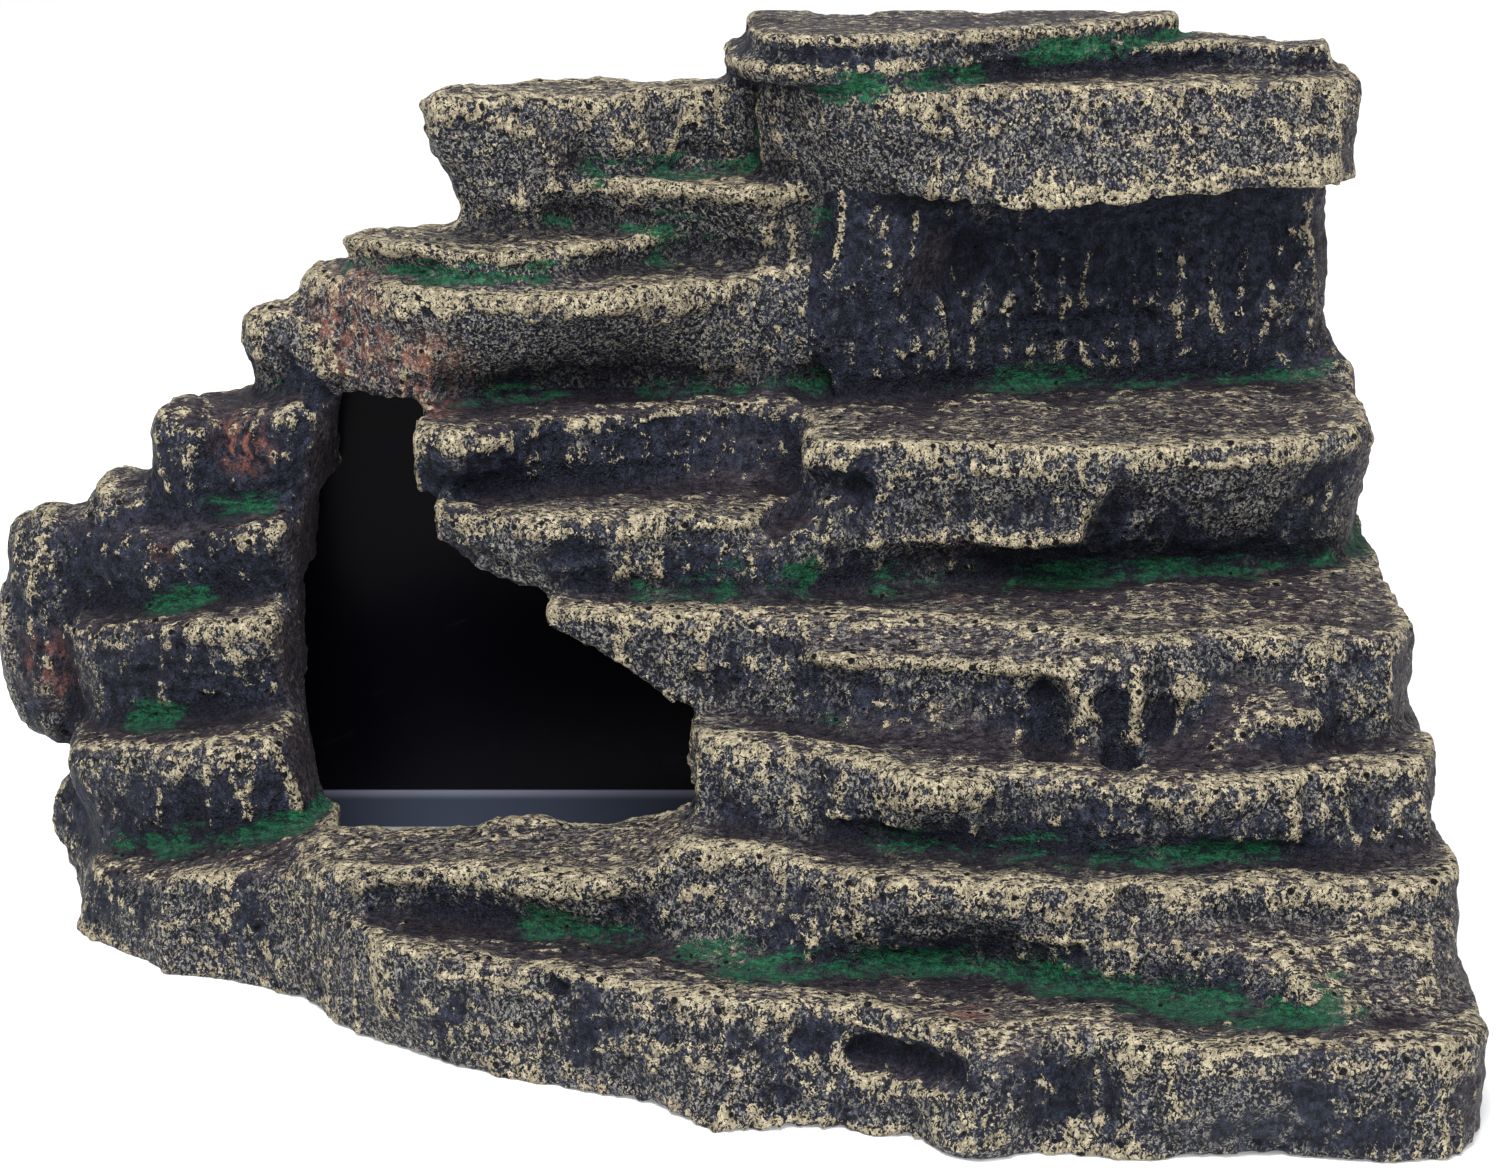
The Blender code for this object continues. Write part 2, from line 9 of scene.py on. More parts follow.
import bpy
import numpy as np
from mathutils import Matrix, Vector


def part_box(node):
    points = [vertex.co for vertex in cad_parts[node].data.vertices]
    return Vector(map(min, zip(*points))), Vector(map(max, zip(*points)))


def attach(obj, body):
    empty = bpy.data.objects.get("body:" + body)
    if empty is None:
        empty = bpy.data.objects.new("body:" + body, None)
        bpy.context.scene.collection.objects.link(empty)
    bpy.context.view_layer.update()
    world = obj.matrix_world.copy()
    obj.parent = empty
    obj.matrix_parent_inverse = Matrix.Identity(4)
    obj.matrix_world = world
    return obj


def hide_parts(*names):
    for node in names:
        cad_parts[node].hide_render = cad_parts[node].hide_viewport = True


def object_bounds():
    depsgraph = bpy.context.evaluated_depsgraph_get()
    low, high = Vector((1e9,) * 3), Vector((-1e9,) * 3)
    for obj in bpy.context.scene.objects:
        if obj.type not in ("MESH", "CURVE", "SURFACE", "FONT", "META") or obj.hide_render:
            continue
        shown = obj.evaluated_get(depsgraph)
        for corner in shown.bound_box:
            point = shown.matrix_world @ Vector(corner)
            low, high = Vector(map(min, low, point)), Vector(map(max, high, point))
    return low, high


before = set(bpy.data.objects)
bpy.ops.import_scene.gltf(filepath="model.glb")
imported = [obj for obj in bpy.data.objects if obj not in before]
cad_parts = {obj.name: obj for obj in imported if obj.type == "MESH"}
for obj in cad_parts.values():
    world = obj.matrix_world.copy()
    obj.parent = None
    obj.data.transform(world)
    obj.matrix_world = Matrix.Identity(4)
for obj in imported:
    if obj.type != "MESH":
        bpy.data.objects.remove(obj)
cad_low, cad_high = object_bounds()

import openvdb
from mathutils import Vector

MM = 0.001
VOXEL = 0.75     # grid spacing
MARGIN = 6.0                            # empty border round the model
FAR = 11.0                              # distances are cut off here
GROOVE_RADIUS = 2.6                     # rolling-ball fillet between two pieces
EDGE_BLUR = 0.8                         # rounds the lips
SLOPE_BLUR = 2.5                        # the relief follows the slope of a rock blurred this much
BAND = 5.0                              # carving reaches this far from the surface
CALM_BORDER = 5.0                       # nothing swells this close to the sides of the CAD model's box
OVERLAP = 0.8                           # how far a piece runs in under its neighbour
SINK = 0.35                             # slope at which it dips there
NOISE_CELLS = 96                        # size of the periodic noise tile
WAVE_CELLS = 5.0                        # cells to one wave of it
NOISE_SEED = 7
FINE_BLUR, EVEN_BLUR, COARSE_BLUR, DEEP_BLUR = 1.2, 2.0, 4.0, 9.0   # fields that the paint reads
DEEP_STEP = 3.0                         # grid spacing of the last of them
AIR_BLUR = 1.5

LOW = np.array(cad_low) / MM
HIGH = np.array(cad_high) / MM
FIRST = np.floor((LOW - MARGIN) / VOXEL).astype(int)
SHAPE = np.ceil((HIGH + MARGIN) / VOXEL).astype(int) - FIRST + 1
ROCK_NODES = [name for name in sorted(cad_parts) if name != "back_panel"]

# Moss grows at the foot of a piece: its name, from x, to x, strength.
MOSS = [
    ("upper_left_ledge", -25, 30, 0.8), ("upper_slab", -50, -25, 0.6), ("upper_slab", -16, 36, 0.9),
    ("thin_slab", -80, -22, 0.9), ("thin_slab", -14, 22, 0.6), ("top_slab_lower", 28, 68, 0.9),
    ("top_slab_upper", 74, 138, 0.8), ("neck_wall", 52, 155, 0.7), ("bridge_slab", -62, -24, 0.7),
    ("bridge_slab", -12, 45, 0.8), ("step_course_4", -12, 41, 0.8), ("shelf_block", 41, 100, 0.75),
    ("shelf_block", 100, 165, 1.0), ("step_course_2", 38, 128, 0.8), ("step_course_3", 30, 60, 0.3),
    ("sill_course", -34, 140, 1.0), ("pillar_block_4", -116, -92, 0.8), ("pillar_block_3", -125, -103, 0.8),
    ("pillar_block_2", -130, -112, 0.9), ("pillar_block_1", -134, -80, 1.0),
    ("pillar_boulder", -95, -82, 0.6),
]
MOSS_RISE = 4.6                         # how far it climbs from the foot
MOSS_REACH = 1.0                        # how sharply it keeps to that piece
# Shapes modelled on the courses: add or cut, from, to, half sizes of the ellipsoid swept between them.
SCULPTED = [
    ("add", (-92, 66, 130), (-82, 64, 129), (9, 8, 8.5)),      # boulder on the pillar
    ("add", (-140, 67, 80), (-124, 67, 89), (6, 8, 8)),        # rock between the horn and the pillar
    ("add", (-151, 67, 50), (-148, 67, 80), (8, 8, 9)),        # broad horn
    ("add", (-138, 68, 56), (-134, 68, 80), (8, 8, 9)),
    ("cut", (-141, 54, 38), (-142, 54, 74), (2, 8, 5)),
    ("add", (-114, 63, 98), (-114, 63, 108), (8, 9, 9)),       # left and right lobe of the pillar's top block
    ("add", (-104, 64, 98), (-92, 64, 100), (8, 9, 9)),
    ("add", (-93, 59, 106), (-86, 61, 109), (5, 6, 5)),
    ("add", (-136, 46, 6), (-143, 60, 16), (8, 9, 9)),         # outer corner of the pillar's foot
    ("add", (-131, 27, 2), (-114, 8, 2), (6, 7, 12)),          # the lowest course spreads at its left foot
    ("add", (-114, 8, 2), (-98, 6, 2), (6, 7, 11)),
    ("add", (14, 66, 136), (44, 64, 148), (8, 9, 9)),          # the bridge slab runs up into the neck
    ("add", (20, 66, 127), (38, 64, 140), (8, 9, 10)),
    ("add", (6, 74, 150), (34, 68, 156), (10, 7, 6)),
    ("add", (28, 73, 160), (38, 67, 166), (8, 8, 8)),
    ("cut", (68, 51, 149), (134, 57, 148), (16, 15, 16)),      # the neck is hollow in front, most at its foot
    ("cut", (78, 58, 133), (104, 61, 134), (11, 9, 6)),
    ("add", (140, 75, 121), (148, 75, 119), (8, 7, 7)),        # flare at its right foot
    ("add", (-51, 66, 181), (-38, 66, 180), (6.5, 6, 7)),
    ("add", (-50, 73, 176), (-34, 72, 174), (8, 9, 10)),       # blunt left end of the upper ledge
    ("add", (-46, 73, 164), (-36, 71, 163), (7, 7, 6)),
    ("cut", (36, 13, 107.5), (56, 11, 107), (6, 11, 5)),       # recess under the shelf's lip
    ("cut", (8, 20, 107), (38, 17, 107.5), (6, 14, 5)),
    ("cut", (24, 17, 102), (32, 14, 104), (8, 13, 8)),
    ("add", (38, 27, 96), (86, 23, 98), (3, 6, 2.4)),          # ledge across the shelf's face
    ("add", (86, 23, 98), (90, 19.5, 108), (2.5, 4, 2.5)),
    ("cut", (50, 16, 90), (84, 14, 91), (8, 8, 4)),
    ("add", (16, 19, 89), (34, 23, 98), (3.5, 4, 5)),          # fin at its left end
    ("add", (32, 1, 78.5), (84, -8, 79.5), (2.5, 5, 1.5)),     # second lip of the fourth course
    ("add", (84, -8, 79.5), (106, -13, 77.5), (2.5, 5, 1.5)),
    ("cut", (36, -5, 82.4), (84, -13, 83.4), (3, 5, 1.4)),
    ("cut", (77, -19, 73.5), (78, -21, 66), (6, 9, 5)),        # hollows in the fourth course
    ("cut", (91.5, -22, 74), (93, -25, 62), (3.6, 7, 4)),
    ("cut", (101, -18, 79), (102, -22, 68), (3.4, 7, 4)),
    ("add", (112, -22, 62), (124, -20, 70), (9, 5, 4)),        # swelling to the right of them
    ("cut", (93, -54, 44.5), (95, -54, 43.5), (3, 5, 3)),      # holes in the second course
    ("cut", (74, -60, 31.5), (80, -61, 31.5), (4, 7, 3)),
    ("add", (123, -60, 33), (134, -68, 26), (5, 6, 4)),
    ("add", (60, -78, 4), (66, -77, 16), (8, 7, 6)),           # bulge of the lowest course and a notch by it
    ("cut", (38, -68, 16), (54, -79, 18), (6, 8, 4)),
    ("add", (-10, -46, 10), (-8, -46, 22), (5, 6, 5)),
    ("cut", (-28, -50, 24), (-20, -50, 22), (4, 6, 3)),
    ("cut", (-64, -27, 30), (-36, -34, 30), (7, 10, 4)),       # hollow under the lip of the sill
    ("cut", (-14, -40, 30), (-8, -41, 30), (4, 8, 4)),
    ("add", (-74, 1, 33), (-12, -9, 38), (5, 4, 2)),           # inner edge of the sill
    ("add", (-38, -4, 38), (-32, -4, 38), (5, 4, 4)),
]
SCULPT_BLEND = 3.0                      # rounds the meeting of such a shape and the rock
SCULPT_REACH = 8.0                      # and changes the rock no further than this from the shape
# More or less worn tan paint than the rest.
WEAR = {
    "neck_wall": -0.4, "pillar_block_4": -0.42, "pillar_block_3": -0.5, "pillar_block_2": -0.34,
    "pillar_block_1": -0.3, "horn_rock": -0.25, "slope_rock": -0.15, "pillar_boulder": -0.15,
    "pillar_base": -0.1, "base_course": -0.05, "sill_course": 0.12, "step_course_2": -0.02,
    "step_course_4": -0.12, "step_course_5": -0.38, "bridge_slab": 0.4, "thin_slab": 0.6, "upper_slab": 0.55,
    "upper_left_ledge": 0.2, "top_slab_lower": -0.15, "top_slab_upper": -0.15, "cap_block": 0.22,
}
# Rusty tints: centre and radius.
RUST = [
    ((-72, 60, 136), 18), ((-57, 48, 126), 14), ((-100, 55, 108), 10), ((-148, 66, 52), 14),
    ((-122, 45, 84), 8), ((5, -30, 57), 7), ((60, 14, 92), 9), ((-15, 25, 92), 8), ((60, -68, 22), 8),
]


# ---------------------------------------------------------------- distance fields

def world_transform():
    return openvdb.createLinearTransform(voxelSize=VOXEL)


def mesh_arrays(mesh):
    """Corner points in millimetres and triangles of a mesh."""
    mesh.calc_loop_triangles()
    points = np.empty(len(mesh.vertices) * 3, np.float32)
    mesh.vertices.foreach_get("co", points)
    triangles = np.empty(len(mesh.loop_triangles) * 3, np.int32)
    mesh.loop_triangles.foreach_get("vertices", triangles)
    return points.reshape(-1, 3) / MM, triangles.reshape(-1, 3).astype(np.uint32)


def distance_field(points, triangles, quads, first, shape):
    """Signed distance to a closed mesh over a box of the grid, cut off at FAR."""
    cells = FAR / VOXEL
    grid = openvdb.FloatGrid.createLevelSetFromPolygons(
        np.ascontiguousarray(points, np.float32), np.ascontiguousarray(triangles, np.uint32),
        np.ascontiguousarray(quads, np.uint32), world_transform(), cells, cells)
    field = np.empty(tuple(shape), np.float32)
    grid.copyToArray(field, ijk=tuple(int(i) for i in first))
    return field


def surface(field, first, value=0.0):
    """The surface where the field has that value, as points in millimetres, triangles and quads."""
    grid = openvdb.FloatGrid(1000.0)
    grid.copyFromArray(np.ascontiguousarray(field), ijk=tuple(int(i) for i in first))
    grid.transform = world_transform()
    return grid.convertToPolygons(value, 0.0)


def blurred(field, sigma):
    """The field after a Gaussian blur of sigma millimetres."""
    reach = max(1, int(round(2.2 * sigma / VOXEL)))
    offsets = np.arange(-reach, reach + 1)
    weights = np.exp(-0.5 * (offsets * VOXEL / sigma) ** 2)
    weights /= weights.sum()
    for axis in range(3):
        padding = [(reach, reach) if a == axis else (0, 0) for a in range(3)]
        padded = np.pad(field, padding, mode="edge")
        field = np.zeros(field.shape, np.float32)
        for offset, weight in zip(offsets, weights):
            cut = [slice(None)] * 3
            cut[axis] = slice(offset + reach, offset + reach + field.shape[axis])
            field += np.float32(weight) * padded[tuple(cut)]
    return field


def interpolated(part, value_at):
    """Mean of the eight corners of a cell; part is the place in it, value_at gives one corner's values."""
    value = np.zeros(len(part), np.float32)
    for corner in range(8):
        step = [(corner >> axis) & 1 for axis in range(3)]
        weight = np.ones(len(part), np.float32)
        for axis in range(3):
            weight *= part[:, axis] if step[axis] else 1 - part[:, axis]
        value += weight * value_at(step)
    return value


def sample(field, points, skip=1):
    """Values at points in millimetres of a field on the whole grid, or on every skip-th voxel of it."""
    place = (points / VOXEL - FIRST) / skip
    place = np.clip(place, 0, np.array(field.shape) - 1.001)
    base = place.astype(np.int32)
    part = (place - base).astype(np.float32)
    return interpolated(part, lambda step: field[tuple((base + step).T)])


def ramp(value, start, end):
    """Smooth step from 0 at start to 1 at end."""
    t = np.clip((value - start) / (end - start), 0, 1)
    return t * t * (3 - 2 * t)


# ---------------------------------------------------------------- noise

def noise_tile():
    """Smooth periodic noise with waves of WAVE_CELLS cells and a spread of one."""
    random = np.random.default_rng(NOISE_SEED)
    spectrum = np.fft.rfftn(random.standard_normal((NOISE_CELLS,) * 3))
    long_axis = np.fft.fftfreq(NOISE_CELLS)
    short_axis = np.fft.rfftfreq(NOISE_CELLS)
    wave = np.sqrt(long_axis[:, None, None] ** 2 + long_axis[None, :, None] ** 2
                   + short_axis[None, None, :] ** 2)
    centre = 1.0 / WAVE_CELLS
    tile = np.fft.irfftn(spectrum * np.exp(-((wave - centre) / (0.4 * centre)) ** 2), s=(NOISE_CELLS,) * 3)
    return (tile / tile.std()).astype(np.float32)


TILE = noise_tile()


def noise(points, size, seed):
    """Noise at points; size is its wave length in millimetres, one number or one for each axis."""
    turned = np.roll(points, seed, axis=1) if seed % 2 else points
    size = np.roll(np.broadcast_to(np.array(size, np.float32), (3,)), seed if seed % 2 else 0)
    place = turned * (WAVE_CELLS / size).astype(np.float32) + np.float32(seed * 17.31)
    base = np.floor(place).astype(np.int32)
    return interpolated(place - base, lambda step: TILE[tuple(((base + step) % NOISE_CELLS).T)])


def ridges(points, size, seed):
    """Noise with sharp crests and smooth hollows, about -1 to 1."""
    return 1.0 - 1.25 * np.abs(noise(points, size, seed))


def veins(points, size, seed):
    """Narrow raised veins, 0 to 1, on a level ground."""
    return np.maximum(1.0 - 1.1 * np.abs(noise(points, size, seed)), 0.0)


# ---------------------------------------------------------------- the rock

def node_fields():
    """For each rock node its field and where that box starts; and the nearest, second nearest and owner."""
    fields = {}
    nearest = np.full(tuple(SHAPE), FAR, np.float32)
    second = np.full(tuple(SHAPE), FAR, np.float32)
    owner = np.full(tuple(SHAPE), -1, np.int8)
    for number, name in enumerate(ROCK_NODES):
        points, triangles = mesh_arrays(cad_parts[name].data)
        first = np.maximum(np.floor((points.min(0) - FAR) / VOXEL).astype(int), FIRST)
        last = np.minimum(np.ceil((points.max(0) + FAR) / VOXEL).astype(int) + 1, FIRST + SHAPE)
        field = distance_field(points, triangles, np.empty((0, 4)), first, last - first)
        box = tuple(slice(int(a), int(b)) for a, b in zip(first - FIRST, last - FIRST))
        fields[name] = (field, box)
        before = nearest[box]
        closer = field < before
        second[box] = np.where(closer, before, np.minimum(second[box], field))
        nearest[box] = np.where(closer, field, before)
        owner[box][closer] = number
    return fields, nearest, second, owner


def add_shapes(field):
    """Add and cut the modelled shapes in the whole-grid field."""
    for kind, start, end, half in SCULPTED:
        start, end, half = (np.array(value, np.float32) for value in (start, end, half))
        low = np.floor((np.minimum(start, end) - half - SCULPT_REACH) / VOXEL).astype(int) - FIRST
        high = np.ceil((np.maximum(start, end) + half + SCULPT_REACH) / VOXEL).astype(int) - FIRST
        low = np.maximum(low, 0)
        high = np.minimum(high, SHAPE)
        box = tuple(slice(int(a), int(b)) for a, b in zip(low, high))
        axes = [((np.arange(a, b) + f) * VOXEL).astype(np.float32) for a, b, f in zip(low, high, FIRST)]
        points = np.stack(np.meshgrid(*axes, indexing="ij"), axis=-1)
        along = end - start
        share = np.clip(((points - start) @ along) / (along @ along), 0, 1)
        offset = (points - start - share[..., None] * along) / half
        shape = (np.linalg.norm(offset, axis=-1) - 1) * half.min()
        if kind == "cut":
            shape = -shape
        there = field[box]
        near = np.maximum(SCULPT_BLEND - np.abs(there - shape), 0) ** 2 / (4 * SCULPT_BLEND)
        field[box] = np.maximum(there, shape) + near if kind == "cut" else np.minimum(there, shape) - near


def filleted(field):
    """The field with a ball of GROOVE_RADIUS rolled along its grooves, and its edges rounded."""
    points, triangles, quads = surface(field, FIRST, GROOVE_RADIUS)
    grown = distance_field(points, triangles, quads, FIRST, SHAPE)
    if grown[0, 0, 0] < 0:
        grown = -grown
    return blurred(np.minimum(field, grown + GROOVE_RADIUS), EDGE_BLUR)


def relief(points, rise, side, groove, wall):
    """Height of the carved stone at points, from the slope of the surface and the distance to a groove."""
    tread = ramp(rise, 0.45, 0.8)
    face = 1 - ramp(np.abs(rise), 0.5, 0.85)
    flank = ramp(side, 0.5, 0.9)
    under = ramp(-rise, 0.3, 0.7)
    calm = (0.3 + 0.7 * ramp(groove, 0.5, 7.0)) * (1 - 0.45 * flank) * (1 - 0.5 * under)
    broad = 0.6 * noise(points, (34, 30, 30), 1) + 0.22 * noise(points, 15, 2)
    blocks = 0.3 * (1 - 0.6 * wall) * ridges(points, (19, 15, 13), 3)
    strata_patch = ramp(noise(points, (60, 40, 30), 4), -0.2, 0.9) * (1 - 0.9 * wall)
    strata = 0.6 * strata_patch * veins(points, (60, 30, 9.0), 5)
    flute_patch = np.maximum(ramp(noise(points, (40, 40, 50), 6), -0.8, 0.6), wall)
    flutes = 0.8 * flute_patch * veins(points, (11, 11, 60), 7)
    net = 0.2 * veins(points, (20, 16, 16), 11)
    streaks = 0.35 * veins(points, (30, 7, 8), 8)
    crumbs = 0.11 * noise(points, 4.6, 9) + 0.13 * noise(points, 2.7, 10)
    pits = 0.9 * ramp(noise(points, 5.2, 12), 1.7, 2.5)
    height = broad * (0.6 + 0.4 * face) + blocks * (0.3 + 0.7 * face)
    height += face * (strata + flutes) + net + tread * streaks
    return height * calm + crumbs - pits * (1 - 0.6 * flank) - 0.45


def carve(field, second, owner):
    """Carve the relief into the field, keeping it inside the CAD model's box."""
    soft = blurred(field, SLOPE_BLUR)
    rise = np.gradient(soft, VOXEL, axis=2)
    side = np.gradient(soft, VOXEL, axis=0)
    band = np.nonzero(np.abs(field) < BAND)
    points = (np.column_stack(band) + FIRST).astype(np.float32) * np.float32(VOXEL)
    wall = (owner[band] == ROCK_NODES.index("neck_wall")).astype(np.float32)
    height = relief(points, rise[band], side[band], second[band], wall)
    room = np.minimum((points - LOW)[:, :2].min(1), (HIGH - points).min(1))
    height = np.where(height > 0, height * ramp(room, 0.0, CALM_BORDER), height)
    field[band] -= height


def clip_to_box(field):
    """Cut the field off at the ground, at the back panel and at the other sides of the CAD model's box."""
    high = HIGH.copy()
    high[1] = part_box("back_panel")[0][1] / MM
    for axis in range(3):
        place = (np.arange(SHAPE[axis]) + FIRST[axis]) * VOXEL
        outside = np.maximum(LOW[axis] - place, place - high[axis]).astype(np.float32)
        view = [1, 1, 1]
        view[axis] = -1
        np.maximum(field, outside.reshape(view), out=field)


def piece_field(name, fields, nearest, second, owner, rock):
    """The rock's field cut down to the cell of one node, and the grid index where it starts."""
    field, box = fields[name]
    own = owner[box] == ROCK_NODES.index(name)
    past = 0.5 * (field - np.where(own, second[box], nearest[box]))
    cell = np.maximum(rock[box] + SINK * np.maximum(past, 0), past - OVERLAP)
    return cell, np.array([part.start for part in box]) + FIRST


def build_mesh(name, points, quads):
    """A mesh from points in millimetres and quads, smooth shaded, with its faces pointing out."""
    corners = points[quads]
    normal = np.cross(corners[:, 2] - corners[:, 0], corners[:, 3] - corners[:, 1])
    if (normal * corners.mean(1)).sum() < 0:
        quads = quads[:, ::-1]
    mesh = bpy.data.meshes.new(name)
    mesh.vertices.add(len(points))
    mesh.vertices.foreach_set("co", (points * MM).astype(np.float32).ravel())
    mesh.loops.add(quads.size)
    mesh.loops.foreach_set("vertex_index", quads.astype(np.int32).ravel())
    mesh.polygons.add(len(quads))
    mesh.polygons.foreach_set("loop_start", np.arange(0, quads.size, 4, dtype=np.int32))
    mesh.polygons.foreach_set("use_smooth", np.ones(len(quads), bool))
    mesh.update(calc_edges=True)
    mesh.validate()
    return mesh


def set_attribute(mesh, name, values):
    attribute = mesh.attributes.new(name, "FLOAT", "POINT")
    attribute.data.foreach_set("value", values.astype(np.float32))


def open_air(rock):
    """How openly each voxel lies to the front, the top or the sides, from 0 to 1."""
    solid = rock < 0
    free = np.zeros(rock.shape, bool)
    for axis, backwards in ((1, False), (2, True), (0, False), (0, True)):
        line = np.flip(solid, axis) if backwards else solid
        seen = ~np.maximum.accumulate(line, axis=axis)
        free |= np.flip(seen, axis) if backwards else seen
    return blurred(free.astype(np.float32), AIR_BLUR)


def moss_cover(name, points, fields, second):
    """Moss on one piece: along its own foot, and on its tread along the foot of the pieces it carries."""
    gap = sample(second, points)
    cover = np.zeros(len(points), np.float32)
    for node, x_from, x_to, strength in MOSS:
        field, box = fields[node]
        low, high = (np.array(corner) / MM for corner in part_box(node))
        first = np.array([part.start for part in box]) + FIRST
        place = np.rint(points / VOXEL).astype(int) - first
        inside = ((place >= 0) & (place < np.array(field.shape))).all(1)
        distance = np.full(len(points), FAR, np.float32)
        distance[inside] = field[tuple(place[inside].T)]
        foot = np.exp(-(gap / MOSS_RISE) ** 2 - (np.maximum(distance - gap, 0) / MOSS_REACH) ** 2)
        window = ramp(points[:, 0], x_from - 3, x_from + 4) * (1 - ramp(points[:, 0], x_to - 4, x_to + 3))
        below = 1 - ramp(points[:, 2], 0.6 * low[2] + 0.4 * high[2], 0.4 * low[2] + 0.6 * high[2])
        cover = np.maximum(cover, strength * foot * window * below)
    return cover


def rust_cover(points):
    cover = np.zeros(len(points), np.float32)
    for centre, radius in RUST:
        distance = np.linalg.norm(points - np.array(centre), axis=1)
        cover = np.maximum(cover, 1 - ramp(distance, 0.2 * radius, radius))
    return cover


def make_rock(material):
    fields, nearest, second, owner = node_fields()
    union = nearest.copy()
    add_shapes(union)
    rock = filleted(union)
    carve(rock, second, owner)
    clip_to_box(rock)
    fine = blurred(rock, FINE_BLUR)
    coarse = blurred(rock, COARSE_BLUR)
    even = blurred(rock, EVEN_BLUR)
    skip = int(round(DEEP_STEP / VOXEL))
    deep = blurred(rock[::skip, ::skip, ::skip], DEEP_BLUR / skip)
    rise = np.gradient(even, VOXEL, axis=2)
    side = np.gradient(even, VOXEL, axis=0)
    air = open_air(rock)
    for name in ROCK_NODES:
        cell, first = piece_field(name, fields, nearest, second, owner, rock)
        points, triangles, quads = surface(cell, first)
        piece = bpy.data.objects.new(name + "_stone", build_mesh(name + "_stone", points, quads))
        bpy.context.scene.collection.objects.link(piece)
        for label, field in (("edge", fine), ("ridge", coarse), ("rise", rise), ("side", side)):
            set_attribute(piece.data, label, sample(field, points))
        set_attribute(piece.data, "deep", sample(deep, points, skip))
        set_attribute(piece.data, "wear", np.full(len(points), WEAR.get(name, 0.0)))
        set_attribute(piece.data, "inside", 1 - ramp(sample(air, points), 0.05, 0.3))
        set_attribute(piece.data, "moss", moss_cover(name, points, fields, second))
        set_attribute(piece.data, "rust", rust_cover(points))
        piece.data.materials.append(material)
        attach(piece, "root")
        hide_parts(name)


# ---------------------------------------------------------------- materials

# Paints, dark and light where there are two.
SLATE = (0.005, 0.006, 0.011), (0.030, 0.036, 0.060)
MAUVE = (0.014, 0.011, 0.016), (0.092, 0.073, 0.080)
SAND = (0.168, 0.139, 0.093), (0.50, 0.435, 0.300)
GREEN = (0.001, 0.014, 0.009), (0.009, 0.140, 0.055)
PALE_GREEN = (0.022, 0.072, 0.050)
DUST = (0.345, 0.325, 0.275)
RED_UNDER, RED_OVER = (0.23, 0.085, 0.060), (0.30, 0.13, 0.09)
# black for the painted shade in the pits between crumbs and in the pin holes
PIT_SHADE_BLACK = (0.003, 0.003, 0.005)
# black for the painted shade in creases and hollows, and for faces closed off from the front, top and sides
SHADE_AND_INNER_BLACK = (0.004, 0.004, 0.008)
PANEL_BLACK, PANEL_SMUDGE = (0.0015, 0.0015, 0.003), (0.007, 0.008, 0.012)
# painted shade: the grey-blue of floor in shadow on the panel's foot, and a painted highlight along the top
# of that band
PANEL_FOOT_SHADE, PANEL_RIM_HIGHLIGHT = (0.030, 0.036, 0.056), (0.13, 0.14, 0.18)
FOOT_FROM, FOOT_TO, RIM_FROM = 10.6, 11.0, 8.0      # heights on the panel where its painted floor shade and the painted highlight on top of it end
